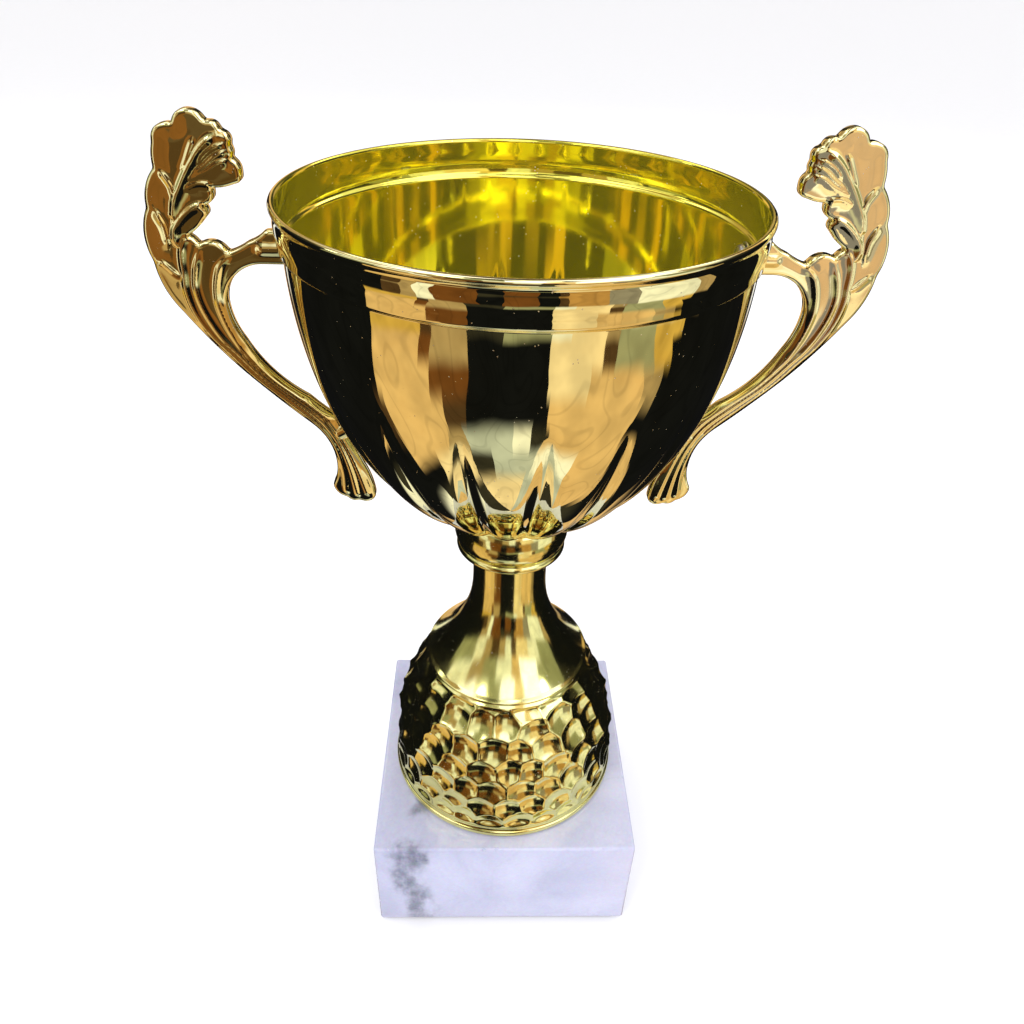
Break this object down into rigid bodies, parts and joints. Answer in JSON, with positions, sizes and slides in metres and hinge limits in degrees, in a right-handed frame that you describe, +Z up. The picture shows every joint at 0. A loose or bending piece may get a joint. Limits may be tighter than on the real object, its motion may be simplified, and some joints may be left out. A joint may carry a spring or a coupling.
{
  "type": "cup trophy",
  "caption": "Gold-plated cup trophy: fluted bowl with leaf handles on a collar and hammered riser, clamped by a tie rod to a square white marble base.",
  "frame": {"origin": "on the tie rod's axis, at the underside of the felt that the trophy rests on", "axes": "+Z up along the tie rod; +X towards the right-hand handle seen from the front; the front of the marble block faces -Y"},
  "size_m": [0.1656, 0.1076, 0.2382],
  "materials": {
    "white_marble": "polished white marble with grey clouding",
    "green_felt": "self-adhesive felt",
    "gold_plated_sheet": "steel sheet, gold-plated mirror",
    "gold_plated_plastic": "moulded plastic, gold-plated mirror",
    "zinc_plated_steel": "zinc-plated steel"
  },
  "bodies": {
    "base": {"marble_base": "white_marble", "base_felt": "green_felt", "tie_rod": "zinc_plated_steel", "base_washer": "zinc_plated_steel", "base_lock_washer": "zinc_plated_steel", "base_nut": "zinc_plated_steel", "bowl_washer": "zinc_plated_steel", "bowl_lock_washer": "zinc_plated_steel", "bowl_nut": "zinc_plated_steel"},
    "riser": {"riser": "gold_plated_plastic", "stem_collar": "gold_plated_plastic"},
    "cup": {"bowl": "gold_plated_sheet", "handle_right": "gold_plated_plastic", "handle_left": "gold_plated_plastic", "handle_screw_right_upper": "zinc_plated_steel", "handle_screw_right_lower": "zinc_plated_steel", "handle_screw_left_upper": "zinc_plated_steel", "handle_screw_left_lower": "zinc_plated_steel", "handle_washer_right_upper": "zinc_plated_steel", "handle_washer_right_lower": "zinc_plated_steel", "handle_washer_left_upper": "zinc_plated_steel", "handle_washer_left_lower": "zinc_plated_steel"}
  },
  "joints": [
    {"name": "riser_swivel", "type": "hinge", "parent": "base", "child": "riser", "pos_m": [0, 0, 0.0406], "axis": [0, 0, 1], "continuous": true},
    {"name": "cup_swivel", "type": "hinge", "parent": "riser", "child": "cup", "pos_m": [0, 0, 0.1409], "axis": [0, 0, 1], "continuous": true}
  ]
}
